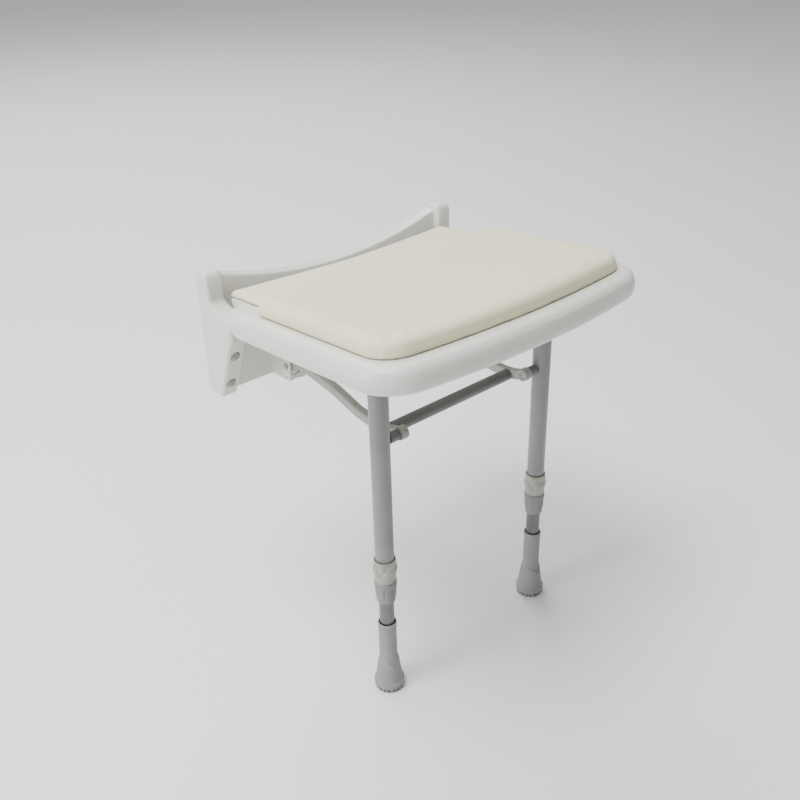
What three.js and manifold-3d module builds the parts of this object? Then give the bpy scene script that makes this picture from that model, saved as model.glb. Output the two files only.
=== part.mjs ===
// Fold-up padded shower seat: a wall bracket, a hinged seat, two drop-down legs with adjustable
// feet, and two stays that keep the legs upright. Millimetres, +Z up, +Y into the wall.
// Heights are above the floor; the finished group is lowered so that its origin is on the wall
// face of the bracket.
import * as THREE from 'three';
import { mergeVertices } from 'three/addons/utils/BufferGeometryUtils.js';
import Module from 'manifold-3d';

const wasm = await Module();
wasm.setup();

// ---------------------------------------------------------------- driving dimensions
const SIDES = [['left', -1], ['right', 1]];

// facets around a circle
const roundSides = 24;
const smallSides = 12;
const screwSides = 10;

// fits
const seatedGap = 0.3; // between pieces that touch
const runningGap = 0.25; // radial, pin in a turning hole
const cutPast = 1; // how far a cutting solid runs past a face
const joinLap = 1; // how far joined solids run into each other

// overall places
const originHeight = 424; // wall face origin above the floor
const hingeOut = 53; // seat hinge and stay pivot, out from the wall
const hingeHeight = 502;
const stayPivotDrop = 95; // stay pivot below the seat hinge
const linkDrop = 12; // leg pivot below the seat hinge, and leg bolt below the stay pivot
const legSpacing = 145.5; // leg axis from the middle

// wall bracket
const bracketHalfWidth = 213.5;
const bracketDrop = 118; // foot of the bracket below the seat hinge
const panelThickness = 19;
const panelSkin = 5;
const archAbove = 18.5; // lowest point of the arch above the seat hinge
const archRise = 30;
const columnWidth = 25.5;
const columnEdge = 4;
const columnCurveSteps = 3;
const hornAbove = 56; // heights from here to the knee are from the seat hinge
const hornDepth = 29;
const hornBackRound = 6;
const hornFrontRound = 12;
const shelfAbove = 16;
const shelfFillet = 6;
const cheekReach = 74;
const cheekAbove = 2;
const cheekNoseRound = 6;
const cheekSeamDrop = 23;
const browOut = 59;
const browDrop = 49;
const kneeOut = 48;
const kneeDrop = 81;
const columnFoot = 31;
const pocketSize = 46;
const pocketPitch = 53;
const pocketRows = 2;
const pocketColumns = 6;
const pocketSill = 15; // above the foot of the bracket

// stay lugs
const lugDepth = 61;
const lugRise = 20; // above the stay pivot
const lugFrontRun = 20;
const lugPlate = 5;
const lugNose = 9;
const lugChamfer = 3;
const lugWebHeight = 11;
const lugPanelLap = 2;
const lugWebThickness = 4;
const lugHoleRadius = 1.8;
const lugHoleDrop = 17; // below the stay pivot

// wall screws and their caps
const screwDrops = [96, 50]; // below the seat hinge, lower then upper
const screwInset = 12.5; // from the outer face of the column
const screwHeadRadius = 5.5;
const screwHeadLength = 4;
const screwShankRadius = 2.9;
const screwSlotWidth = 1.2;
const screwSlotDepth = 1.4;
const screwSeat = 9; // column material left under the head
const capRadius = 6.3;
const capDepth = 10;
const capProud = 1.6;
const capStep = 1;

// seat
const seatSlope = 4.5; // degrees, front edge up
const seatDatumOut = 60; // seat frame origin, out from the wall
const seatDatumDrop = 15; // seat frame origin below the seat hinge
const shellOverhang = 9; // beyond the bracket on each side
const shellRearOverhang = 0.5;
const shellFront = 347; // front apex, ahead of the seat frame origin
const shellBow = 1140;
const shellCorner = 60;
const shellBottom = 1;
const ledgeHeight = 37;
const rimWidth = 21;
const rimRound = 14;
const deckThickness = 3.5;
const rimRear = 16; // rim's rear end, ahead of the seat frame origin
const rimTrim = 12; // the rim is drawn this far too long and trimmed square
const rimEdgeSteps = 3;
const rimCurveSteps = 9;
const flareLength = 30;
const deckCurveSteps = 14;
const tongueSetback = 1; // deck's rear edge ahead of the pad's
const ribDepth = 10;
const ribThickness = 3;
const ribFrontGap = 12;
const ribLines = [-60, 0, 60];
const crossRibShares = [0.274, 0.476, 0.677]; // of the shell's front reach
const armGap = 2; // between an arm and the column beside it
const armThickness = 12;
const armRadius = 13;
const armWrap = 108; // degrees of the arm's edge that follow its eye
const armLength = 70;
const armTail = 4;

// pad
const padThickness = 20;
const padSideLedge = 18.5;
const padFrontLedge = 24.5;
const padBow = 1250;
const padCorner = 42;
const padRearStep = 66; // rear end of the full-width part, ahead of the seat frame origin
const padTongueThickness = 9.5;
const padTongueGap = 2.5; // between the tongue and the column beside it
const padTongueEdge = 2;
const padTongueLap = 12;
const padTongueRear = 20; // rear corners, behind the seat frame origin
const padTongueDish = 13;
const padEdge = 5;
const padCurveSteps = 9;
const padScrewX = 90;
const padScrewShares = [0.375, 0.778]; // of the shell's front reach
const padScrewRadius = 2.1;
const padScrewHead = 4.5;
const padScrewHeadLength = 2.4;
const padScrewBite = 10;

// hinge pins, bushes and blocks
const hingePinRadius = 4;
const hingePinBite = 19; // depth in the cheek
const bushWall = 2.4;
const blockHalfWidth = 13.3;
const blockHalfLength = 24;
const blockRadius = 12.5;
const blockFlange = 6;
const blockShoulder = 6; // above the pivot
const blockRoofGap = 4; // above the leg's eye
const blockMouthGap = 2;
const eyeRadius = 12;
const eyeThickness = 14;
const legPinRadius = 4;
const legPinHead = 6.5;
const legPinHeadLength = 2.4;
const pinTail = 1; // pin end standing out of its far hole

// legs
const legSetback = 127.6; // leg axis behind the front of the shell
const outerTubeRadius = 12.5;
const outerTubeWall = 1.4;
const outerTubeFoot = 169.5;
const tubeTopBelowPivot = 18;
const plugInsert = 27;
const plugFlange = 2.6;
const plugNeckHalf = 9;
const collarTop = 221;
const collarFoot = 187.3;
const collarRimWall = 4.5;
const collarNeckWall = 1.4;
const collarNeckFlare = 0.8;
const collarNeckLength = 9;
const collarConeTop = 16; // below the collar's top
const collarRimHeight = 12;
const collarEdge = 1.2;
const collarEdgeHeight = 2;
const nutTop = 186.7;
const nutFoot = 153;
const nutWall = 2.5;
const nutEdge = 1;
const nutEdgeHeight = 1.5;
const nutTaper = 13;
const nutFloor = 3;
const nutFlutes = 8;
const nutFluteRadius = 2.2;
const nutFluteShare = 0.55; // of the flute's radius that lies outside the nut
const nutFluteEnds = [5, 4]; // flute ends from the nut's foot and top
const colletHeight = 11;
const colletSlit = 1.6;
const tubeSlideGap = 1.1; // radial, between the two tubes
const innerTubeWall = 1.5;
const innerTubeInsert = 169.5; // inside the outer tube

// ferrule
const ferruleMouth = 115;
const ferruleWall = 2;
const ferruleFloor = 6;
const ferruleEdge = 1;
// bell of the ferrule, as [radius beyond the sleeve, height]
const ferruleBell = [[4.7, 0], [7.7, 4], [8.7, 11], [7.7, 17], [5.7, 20], [3, 37], [0.6, 52], [0, 62]];
const washerThickness = 1.6;
const washerGap = 0.2;

// stays and crossbar
const stayThickness = 12;
const stayInner = 105; // inner face of a stay, from the middle
const stayHalfDepth = 7;
const stayEndRadius = 8.8;
const stayRearRadius = 10;
const staySteps = 14;
const stayEdge = 2.5;
const boltRecess = 3.2;
const boltRecessRadius = 4.4;
// places along a stay, as [share of the reach, height from the stay pivot]
const stayBends = [[0.106, 6.5], [0.247, 3.5], [0.442, -4], [0.654, -17]];
const crossbarBehindLeg = 25.4;
const crossbarDrop = 7; // below the leg bolt
const crossbarRadius = 8.1;
const crossbarWall = 2;
const crossbarPlug = 20; // solid length at each end
const crossbarVent = 2;
const crossbarScrewBite = 14;
const crossbarHoleShort = 2; // hole stops this far short of the plug's end
const crossbarScrewRadius = 2.5;
const crossbarScrewHead = 4.6;
const crossbarScrewHeadLength = 2.4;
const legBoltRadius = 3;
const legBoltHead = 4;
const legBoltHeadLength = 2.6;
const spacerRadius = 7;
const legHoleGap = 0.4;

// ---------------------------------------------------------------- derived places
const shellHalfWidth = bracketHalfWidth + shellOverhang;
const shellRearHalfWidth = bracketHalfWidth + shellRearOverhang;
// seat hinge to leg pivot, and stay pivot to leg bolt
const linkReach = shellFront + seatDatumOut - legSetback - hingeOut;
const hingeY = -hingeOut;
const legY = hingeY - linkReach;
const stayPivotHeight = hingeHeight - stayPivotDrop;
const legPivotHeight = hingeHeight - linkDrop;
const legBoltHeight = stayPivotHeight - linkDrop;
const seatDatumHeight = hingeHeight - seatDatumDrop;
const bracketBottom = hingeHeight - bracketDrop;
const archLow = hingeHeight + archAbove;
const hornTop = hingeHeight + hornAbove;
const shelfBack = hingeHeight + shelfAbove;
const cheekTop = hingeHeight + cheekAbove;
const cheekSeam = hingeHeight - cheekSeamDrop;
const browHeight = hingeHeight - browDrop;
const kneeHeight = hingeHeight - kneeDrop;
const shelfSlope = (shelfBack - cheekTop) / (cheekReach - hornDepth);
const pocketBottom = bracketBottom + pocketSill;
const lugTop = stayPivotHeight + lugRise;
const screwHeights = screwDrops.map((drop) => hingeHeight - drop);
const archRadius = ((bracketHalfWidth - columnWidth) ** 2 + archRise ** 2) / (2 * archRise);
const slope = THREE.MathUtils.degToRad(seatSlope);
const columnInner = bracketHalfWidth - columnWidth;
const stayOuter = stayInner + stayThickness;
const lugOuter = stayOuter + seatedGap + lugPlate;
const lugInner = stayInner - seatedGap - 2 * lugPlate;
const armOuter = columnInner - armGap;
const padHalfWidth = shellHalfWidth - padSideLedge;
const padFront = shellFront - padFrontLedge;
const padTongueHalfWidth = columnInner - padTongueGap;
const padScrewY = padScrewShares.map((share) => -share * shellFront);
const crossRibs = crossRibShares.map((share) => -share * shellFront);
const padBottom = ledgeHeight + seatedGap;
const deckUnder = ledgeHeight - deckThickness;
const outerTubeBore = outerTubeRadius - outerTubeWall;
const outerTubeTop = legPivotHeight - tubeTopBelowPivot;
const collarRadius = outerTubeRadius + collarRimWall;
const collarNeck = outerTubeRadius + collarNeckWall;
const nutRadius = outerTubeRadius + nutWall;
const nutMouth = outerTubeRadius - seatedGap;
const innerTubeRadius = outerTubeBore - tubeSlideGap;
const innerTubeTop = outerTubeFoot + innerTubeInsert;
const ferruleBore = innerTubeRadius + seatedGap;
const ferruleRadius = ferruleBore + ferruleWall;
const crossbarOut = hingeOut + linkReach - crossbarBehindLeg;
const crossbarHeight = legBoltHeight - crossbarDrop;

// ---------------------------------------------------------------- colours
const FINISH = {
  whitePlastic: { color: 0xf0f0ec, roughness: 0.35, metalness: 0 },
  creamFoam: { color: 0xe9e5d2, roughness: 0.65, metalness: 0 },
  creamNylon: { color: 0xe8e6d8, roughness: 0.45, metalness: 0 },
  paintedTube: { color: 0xc3c6c8, roughness: 0.4, metalness: 0.1 },
  anodisedTube: { color: 0xb9bcc0, roughness: 0.35, metalness: 0.8 },
  paleRubber: { color: 0xd9dbdb, roughness: 0.75, metalness: 0 },
  steel: { color: 0xa9abad, roughness: 0.3, metalness: 1 },
};

// ---------------------------------------------------------------- geometry helpers
function toSolid(geometry) {
  const bare = geometry.clone();
  bare.deleteAttribute('normal');
  bare.deleteAttribute('uv');
  const merged = mergeVertices(bare, 1e-4);
  return new wasm.Manifold(new wasm.Mesh({
    numProp: 3,
    vertProperties: merged.attributes.position.array,
    triVerts: new Uint32Array(merged.index.array),
  }));
}

function toGeometry(solid) {
  const mesh = solid.getMesh();
  const geometry = new THREE.BufferGeometry();
  geometry.setAttribute('position', new THREE.BufferAttribute(mesh.vertProperties, 3));
  geometry.setIndex(new THREE.BufferAttribute(mesh.triVerts, 1));
  geometry.computeVertexNormals();
  return geometry;
}

function box(x, y, z) {
  const geometry = new THREE.BoxGeometry(x[1] - x[0], y[1] - y[0], z[1] - z[0]);
  geometry.translate((x[0] + x[1]) / 2, (y[0] + y[1]) / 2, (z[0] + z[1]) / 2);
  return toSolid(geometry);
}

// A rod along X, Y or Z: span is its two ends, centre the two other coordinates in X, Y, Z order.
function rod(axis, span, centre, radius, sides = smallSides) {
  const geometry = new THREE.CylinderGeometry(radius, radius, Math.abs(span[1] - span[0]), sides);
  const middle = (span[0] + span[1]) / 2;
  if (axis === 'x') {
    geometry.rotateZ(Math.PI / 2);
    geometry.translate(middle, centre[0], centre[1]);
  } else if (axis === 'y') {
    geometry.translate(centre[0], middle, centre[1]);
  } else {
    geometry.rotateX(Math.PI / 2);
    geometry.translate(centre[0], centre[1], middle);
  }
  return toSolid(geometry);
}

// A plate with rounded edges; edge is the rounding and edgeSteps its facets.
function extruded(shape, length, edge, curveSegments, edgeSteps) {
  return new THREE.ExtrudeGeometry(shape, {
    depth: length - 2 * edge,
    bevelEnabled: edge > 0,
    bevelThickness: edge,
    bevelSize: edge,
    bevelOffset: -edge,
    bevelSegments: edgeSteps,
    curveSegments,
  }).translate(0, 0, edge);
}

// A plate whose outline is drawn in Y and Z, from x[0] to x[1].
function plateX(shape, x, edge = 0, curveSegments = 12) {
  const geometry = extruded(shape, x[1] - x[0], edge, curveSegments, 2);
  geometry.applyMatrix4(new THREE.Matrix4().makeBasis(
    new THREE.Vector3(0, 1, 0),
    new THREE.Vector3(0, 0, 1),
    new THREE.Vector3(1, 0, 0),
  ));
  geometry.translate(x[0], 0, 0);
  return toSolid(geometry);
}

// A plate whose outline is drawn in X and Z, from y[0] to y[1].
function plateY(shape, y, curveSegments) {
  const geometry = extruded(shape, y[1] - y[0], 0, curveSegments, 0);
  geometry.rotateX(Math.PI / 2);
  geometry.translate(0, y[1], 0);
  return toSolid(geometry);
}

// A plate whose outline is drawn in X and Y, from z[0] to z[1].
function plateZ(shape, z, edge = 0, curveSegments = 12, edgeSteps = 2) {
  const geometry = extruded(shape, z[1] - z[0], edge, curveSegments, edgeSteps);
  geometry.translate(0, 0, z[0]);
  return toSolid(geometry);
}

// The same span of X on the side that side names.
function spanOn(side, span) {
  return side > 0 ? span : [-span[1], -span[0]];
}

// A turned piece about a vertical axis through (x, y), from a closed outline of [radius, height].
function turned(outline, x, y, sides = roundSides) {
  const points = outline.map(([r, z]) => new THREE.Vector2(r, z));
  points.push(points[0].clone());
  const geometry = new THREE.LatheGeometry(points, sides);
  geometry.rotateX(Math.PI / 2);
  geometry.translate(x, y, 0);
  const solid = toSolid(geometry);
  return solid.volume() < 0 ? toSolid(flipped(geometry)) : solid;
}

function flipped(geometry) {
  const index = Array.from(geometry.index.array);
  for (let i = 0; i < index.length; i += 3) {
    [index[i], index[i + 1]] = [index[i + 1], index[i]];
  }
  const copy = geometry.clone();
  copy.setIndex(index);
  return copy;
}

function outlineOf(points) {
  return new THREE.Shape(points.map(([u, v]) => new THREE.Vector2(u, v)));
}

function node(parent, name, solid, finish) {
  const mesh = new THREE.Mesh(toGeometry(solid), new THREE.MeshStandardMaterial(finish));
  mesh.name = name;
  parent.add(mesh);
  return mesh;
}

// ---------------------------------------------------------------- wall bracket
// Front profile of a cheek, horn and column, drawn in Y and Z.
function cheekOutline() {
  const shape = new THREE.Shape();
  shape.moveTo(0, bracketBottom);
  shape.lineTo(0, hornTop - hornBackRound);
  shape.quadraticCurveTo(0, hornTop, -hornBackRound, hornTop);
  shape.lineTo(-hornDepth + hornFrontRound, hornTop);
  shape.quadraticCurveTo(-hornDepth, hornTop, -hornDepth, hornTop - hornFrontRound);
  shape.lineTo(-hornDepth, shelfBack + shelfFillet);
  shape.quadraticCurveTo(
    -hornDepth,
    shelfBack,
    -hornDepth - shelfFillet,
    shelfBack - shelfFillet * shelfSlope,
  );
  shape.lineTo(-cheekReach + cheekNoseRound, cheekTop + cheekNoseRound * shelfSlope);
  shape.quadraticCurveTo(-cheekReach, cheekTop, -cheekReach, cheekTop - cheekNoseRound);
  shape.lineTo(-cheekReach, cheekSeam);
  shape.quadraticCurveTo(-browOut, browHeight, -kneeOut, kneeHeight);
  shape.lineTo(-columnFoot, bracketBottom);
  return shape;
}

// Back panel with its concave arched top, drawn in X and Z.
function panelOutline() {
  const half = columnInner + columnWidth / 2;
  const sweep = Math.asin(half / archRadius);
  const shape = new THREE.Shape();
  shape.moveTo(-half, bracketBottom);
  shape.lineTo(half, bracketBottom);
  const start = sweep - Math.PI / 2;
  const end = -sweep - Math.PI / 2;
  shape.absarc(0, archLow + archRadius, archRadius, start, end, true);
  return shape;
}

function pockets() {
  const cells = [];
  for (let column = 0; column < pocketColumns; column += 1) {
    for (let row = 0; row < pocketRows; row += 1) {
      const x = (column - (pocketColumns - 1) / 2) * pocketPitch - pocketSize / 2;
      const z = pocketBottom + row * pocketPitch;
      const depth = [-panelThickness + panelSkin, cutPast];
      cells.push(box([x, x + pocketSize], depth, [z, z + pocketSize]));
    }
  }
  return cells;
}

// Two plates that hold the rear end of a stay between them.
function stayLug(side) {
  const lug = new THREE.Shape();
  lug.moveTo(-panelThickness + lugPanelLap, bracketBottom);
  lug.lineTo(-panelThickness + lugPanelLap, lugTop);
  lug.lineTo(-lugDepth + lugFrontRun, lugTop);
  lug.quadraticCurveTo(-lugDepth, lugTop, -lugDepth, lugTop - lugNose);
  lug.lineTo(-lugDepth, bracketBottom + lugChamfer);
  lug.lineTo(-lugDepth + lugChamfer, bracketBottom);
  const outerPlate = [stayOuter + seatedGap, lugOuter];
  const innerPlate = [lugInner, stayInner - seatedGap];
  const plates = [outerPlate, innerPlate].map((span) => plateX(lug, spanOn(side, span)));
  const web = box(
    spanOn(side, [lugInner + joinLap, lugOuter - joinLap]),
    [-lugDepth, -lugDepth + lugWebThickness],
    [bracketBottom + lugChamfer, bracketBottom + lugWebHeight],
  );
  const holePlace = [hingeY, stayPivotHeight - lugHoleDrop];
  const through = spanOn(side, [lugInner - cutPast, lugOuter + cutPast]);
  const hole = rod('x', through, holePlace, lugHoleRadius);
  return plates[0].add(plates[1]).add(web).subtract(hole);
}

function screwX(side) {
  return side * (bracketHalfWidth - screwInset);
}

function wallBracket() {
  let solid = plateY(panelOutline(), [-panelThickness, 0], 24);
  pockets().forEach((cell) => { solid = solid.subtract(cell); });
  SIDES.forEach(([, side]) => {
    const width = spanOn(side, [columnInner, bracketHalfWidth]);
    const cheek = plateX(cheekOutline(), width, columnEdge, columnCurveSteps);
    solid = solid.add(cheek).add(stayLug(side));
    const pinHole = spanOn(side, [columnInner - cutPast, columnInner + hingePinBite + seatedGap]);
    solid = solid.subtract(rod('x', pinHole, [hingeY, hingeHeight], hingePinRadius + seatedGap));
    const stayHole = spanOn(side, [lugInner - cutPast, lugOuter + cutPast]);
    const stayPlace = [hingeY, stayPivotHeight];
    solid = solid.subtract(rod('x', stayHole, stayPlace, legPinRadius + seatedGap));
    screwHeights.forEach((height) => {
      const centre = [screwX(side), height];
      const headSpan = [-cheekReach - cutPast, -screwSeat];
      const headBore = rod('y', headSpan, centre, capRadius + seatedGap);
      const shankBore = rod('y', [-cheekReach, cutPast], centre, screwShankRadius + seatedGap);
      solid = solid.subtract(headBore).subtract(shankBore);
    });
  });
  return solid;
}

// Where the column's front face stands at a height, as a distance out from the wall.
function columnFace(height) {
  if (height < kneeHeight) {
    const share = (height - bracketBottom) / (kneeHeight - bracketBottom);
    return columnFoot + share * (kneeOut - columnFoot);
  }
  const face = new THREE.QuadraticBezierCurve(
    new THREE.Vector2(cheekReach, cheekSeam),
    new THREE.Vector2(browOut, browHeight),
    new THREE.Vector2(kneeOut, kneeHeight),
  );
  return face.getPoints(64).find((point) => point.y <= height).x;
}

function wallScrew(side, height) {
  const centre = [screwX(side), height];
  const headEnd = -screwSeat - seatedGap;
  const head = rod('y', [headEnd - screwHeadLength, headEnd], centre, screwHeadRadius);
  const shank = rod('y', [headEnd - joinLap, -joinLap], centre, screwShankRadius);
  const headFace = headEnd - screwHeadLength;
  const slot = box(
    [centre[0] - screwSlotWidth / 2, centre[0] + screwSlotWidth / 2],
    [headFace - cutPast, headFace + screwSlotDepth],
    [height - screwHeadRadius, height + screwHeadRadius],
  );
  return head.add(shank).subtract(slot);
}

function screwCap(side, height) {
  const face = -columnFace(height) - capProud;
  const centre = [screwX(side), height];
  const stem = rod('y', [face + capStep, face + capProud + capDepth], centre, capRadius);
  const crown = rod('y', [face, face + capStep + joinLap], centre, capRadius - capStep);
  return stem.add(crown);
}

function addWallMount(parent) {
  node(parent, 'wall_bracket', wallBracket(), FINISH.whitePlastic);
  SIDES.forEach(([name, side]) => {
    screwHeights.forEach((height, index) => {
      const place = `${name}_${index === 0 ? 'lower' : 'upper'}`;
      node(parent, `wall_screw_${place}`, wallScrew(side, height), FINISH.steel);
      node(parent, `screw_cap_${place}`, screwCap(side, height), FINISH.creamNylon);
    });
    const pinEnd = columnInner + hingePinBite;
    const pinSpan = spanOn(side, [armOuter - armThickness - pinTail, pinEnd]);
    const pin = rod('x', pinSpan, [hingeY, hingeHeight], hingePinRadius);
    node(parent, `seat_hinge_pin_${name}`, pin, FINISH.steel);
    node(parent, `stay_pivot_pin_${name}`, stayPivotPin(side), FINISH.steel);
  });
}

function stayPivotPin(side) {
  const centre = [hingeY, stayPivotHeight];
  const headSpan = [lugInner - seatedGap - legPinHeadLength, lugInner - seatedGap];
  const shank = rod('x', spanOn(side, [headSpan[1], lugOuter + pinTail]), centre, legPinRadius);
  return shank.add(rod('x', spanOn(side, headSpan), centre, legPinHead));
}

// ---------------------------------------------------------------- seat
// Outline with straight sides, rounded front corners and a bowed front, in the seat frame.
// With a flare the sides widen from rearHalf to half over that length.
function bowedOutline(half, front, bow, corner, rear, rearHalf = half, flare = 0) {
  const bowCentre = bow - front;
  const cornerX = half - corner;
  const cornerY = bowCentre - Math.sqrt((bow - corner) ** 2 - cornerX ** 2);
  const turn = Math.atan2(cornerY - bowCentre, cornerX);
  const shape = new THREE.Shape();
  shape.moveTo(rearHalf, rear);
  if (flare > 0) {
    shape.lineTo(rearHalf, -rimRear);
    shape.quadraticCurveTo(half, -rimRear - flare / 2, half, -rimRear - flare);
  }
  shape.lineTo(half, cornerY);
  shape.absarc(cornerX, cornerY, corner, 0, turn, true);
  shape.absarc(0, bowCentre, bow, turn, -Math.PI - turn, true);
  shape.absarc(-cornerX, cornerY, corner, -Math.PI - turn, -Math.PI, true);
  if (flare > 0) {
    shape.lineTo(-half, -rimRear - flare);
    shape.quadraticCurveTo(-half, -rimRear - flare / 2, -rearHalf, -rimRear);
  }
  shape.lineTo(-rearHalf, rear);
  return shape;
}

// Outline of what lies between the cheeks at the rear, with its concave rear edge.
function tongueOutline(half, rear, front) {
  const shape = new THREE.Shape();
  shape.moveTo(half, rear);
  shape.lineTo(half, front);
  shape.lineTo(-half, front);
  shape.lineTo(-half, rear);
  shape.quadraticCurveTo(0, rear - 2 * padTongueDish, half, rear);
  return shape;
}

// A place in Y and height, as seen in the sloping seat frame.
function seatPoint(y, height) {
  const dy = y + seatDatumOut;
  const dz = height - seatDatumHeight;
  const along = dy * Math.cos(slope) - dz * Math.sin(slope);
  const above = dy * Math.sin(slope) + dz * Math.cos(slope);
  return [along, above];
}

function ribs() {
  const reach = shellFront - rimWidth - ribFrontGap;
  const height = [deckUnder - ribDepth, deckUnder + joinLap];
  const along = ribLines.map((x) => box(
    [x - ribThickness / 2, x + ribThickness / 2],
    [-reach, 0],
    height,
  ));
  const edge = Math.max(...ribLines) + ribThickness / 2;
  const across = crossRibs.map((y) => box([-edge, edge], [y, y + ribThickness], height));
  return [...along, ...across];
}

// One of the two plates under the deck that turn on the hinge pins.
function hingeArm(side, hinge) {
  const shape = new THREE.Shape();
  shape.moveTo(hinge[0] + armRadius, deckUnder + joinLap);
  shape.lineTo(hinge[0] + armRadius, hinge[1]);
  shape.absarc(hinge[0], hinge[1], armRadius, 0, -THREE.MathUtils.degToRad(armWrap), true);
  shape.lineTo(hinge[0] - armLength, deckUnder - armTail);
  shape.lineTo(hinge[0] - armLength, deckUnder + joinLap);
  const arm = plateX(shape, spanOn(side, [armOuter - armThickness, armOuter]));
  const boreRadius = hingePinRadius + bushWall + seatedGap;
  const boreSpan = [armOuter - armThickness - cutPast, armOuter + cutPast];
  return arm.subtract(rod('x', spanOn(side, boreSpan), hinge, boreRadius));
}

// The hollow rim around the seat, cut off square at its rear ends.
function seatRim() {
  const drawnRear = rimTrim - rimRear;
  const outer = bowedOutline(
    shellHalfWidth,
    shellFront,
    shellBow,
    shellCorner,
    drawnRear,
    shellRearHalfWidth,
    flareLength,
  );
  const inner = bowedOutline(
    shellHalfWidth - rimWidth,
    shellFront - rimWidth,
    shellBow - rimWidth,
    shellCorner - rimWidth,
    drawnRear + cutPast,
  );
  const past = [shellBottom - cutPast, ledgeHeight + cutPast];
  const trim = box([-shellHalfWidth, shellHalfWidth], [-rimRear, drawnRear + cutPast], past);
  return plateZ(outer, [shellBottom, ledgeHeight], rimRound, rimCurveSteps, rimEdgeSteps)
    .subtract(plateZ(inner, past, 0, deckCurveSteps))
    .subtract(trim);
}

function seatShell(hinge) {
  const deckEdge = bowedOutline(
    shellHalfWidth - rimWidth + joinLap,
    shellFront - rimWidth + joinLap,
    shellBow - rimWidth,
    shellCorner - rimWidth,
    -rimRear,
  );
  const tongue = tongueOutline(armOuter, padTongueRear - tongueSetback, -rimRear - joinLap);
  let solid = seatRim()
    .add(plateZ(deckEdge, [deckUnder, ledgeHeight], 0, deckCurveSteps))
    .add(plateZ(tongue, [deckUnder, ledgeHeight]));
  ribs().forEach((rib) => { solid = solid.add(rib); });
  SIDES.forEach(([, side]) => { solid = solid.add(hingeArm(side, hinge)); });
  padScrewPlaces().forEach(([x, y]) => {
    const through = [deckUnder - cutPast, ledgeHeight + cutPast];
    solid = solid.subtract(rod('z', through, [x, y], padScrewRadius + seatedGap));
  });
  return solid;
}

function padScrewPlaces() {
  return SIDES.flatMap(([, side]) => padScrewY.map((y) => [side * padScrewX, y]));
}

function seatPad() {
  const main = bowedOutline(padHalfWidth, padFront, padBow, padCorner, -padRearStep);
  const tongue = tongueOutline(padTongueHalfWidth, padTongueRear, -padRearStep - padTongueLap);
  let solid = plateZ(main, [padBottom, padBottom + padThickness], padEdge, padCurveSteps);
  solid = solid.add(plateZ(tongue, [padBottom, padBottom + padTongueThickness], padTongueEdge));
  padScrewPlaces().forEach(([x, y]) => {
    const hole = [padBottom - cutPast, padBottom + padScrewBite + seatedGap];
    solid = solid.subtract(rod('z', hole, [x, y], padScrewRadius + seatedGap, screwSides));
  });
  return solid;
}

function padScrew(x, y) {
  const underHead = deckUnder - seatedGap;
  const head = rod('z', [underHead - padScrewHeadLength, underHead], [x, y], padScrewHead);
  const shank = [underHead - joinLap, padBottom + padScrewBite];
  return head.add(rod('z', shank, [x, y], padScrewRadius, screwSides));
}

// Clevis under the deck that takes the eye of a leg.
function legBlock(side, pivot) {
  const top = deckUnder - seatedGap;
  const shape = new THREE.Shape();
  shape.moveTo(pivot[0] + blockHalfLength, top);
  shape.lineTo(pivot[0] + blockHalfLength, top - blockFlange);
  shape.lineTo(pivot[0] + blockRadius, pivot[1] + blockShoulder);
  shape.lineTo(pivot[0] + blockRadius, pivot[1]);
  shape.absarc(pivot[0], pivot[1], blockRadius, 0, -Math.PI, true);
  shape.lineTo(pivot[0] - blockRadius, pivot[1] + blockShoulder);
  shape.lineTo(pivot[0] - blockHalfLength, top - blockFlange);
  shape.lineTo(pivot[0] - blockHalfLength, top);
  const middle = side * legSpacing;
  const body = plateX(shape, [middle - blockHalfWidth, middle + blockHalfWidth]);
  const slotHalf = eyeThickness / 2 + seatedGap;
  const slot = box(
    [middle - slotHalf, middle + slotHalf],
    [pivot[0] - blockHalfLength, pivot[0] + blockHalfLength],
    [pivot[1] - blockRadius - blockMouthGap, pivot[1] + eyeRadius + blockRoofGap],
  );
  const through = blockHalfWidth + cutPast;
  const hole = rod('x', [middle - through, middle + through], pivot, legPinRadius + seatedGap);
  return body.subtract(slot).subtract(hole);
}

function legPivotPin(side, pivot) {
  const middle = side * legSpacing;
  const headFace = middle + blockHalfWidth + seatedGap;
  const shank = rod('x', [middle - blockHalfWidth - pinTail, headFace], pivot, legPinRadius);
  return shank.add(rod('x', [headFace, headFace + legPinHeadLength], pivot, legPinHead));
}

function addSeat(parent) {
  const seat = new THREE.Group();
  seat.position.set(0, -seatDatumOut, seatDatumHeight);
  seat.rotation.x = -slope;
  parent.add(seat);
  const hinge = seatPoint(hingeY, hingeHeight);
  const legPivot = seatPoint(legY, legPivotHeight);
  node(seat, 'seat_shell', seatShell(hinge), FINISH.whitePlastic);
  node(seat, 'seat_pad', seatPad(), FINISH.creamFoam);
  padScrewPlaces().forEach(([x, y], index) => {
    node(seat, `pad_screw_${index + 1}`, padScrew(x, y), FINISH.steel);
  });
  SIDES.forEach(([name, side]) => {
    const span = spanOn(side, [armOuter - armThickness, armOuter + armGap / 2]);
    const sleeve = rod('x', span, hinge, hingePinRadius + bushWall);
    const through = [span[0] - cutPast, span[1] + cutPast];
    const bore = rod('x', through, hinge, hingePinRadius + runningGap);
    node(seat, `seat_hinge_bush_${name}`, sleeve.subtract(bore), FINISH.creamNylon);
    node(seat, `leg_hinge_block_${name}`, legBlock(side, legPivot), FINISH.creamNylon);
    node(seat, `leg_pivot_pin_${name}`, legPivotPin(side, legPivot), FINISH.steel);
  });
}

// ---------------------------------------------------------------- legs
// A turned ring between two radii and two heights, on the axis of the leg at x.
function ring(inner, outer, foot, top, x) {
  return turned([[inner, foot], [outer, foot], [outer, top], [inner, top]], x, legY);
}

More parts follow.
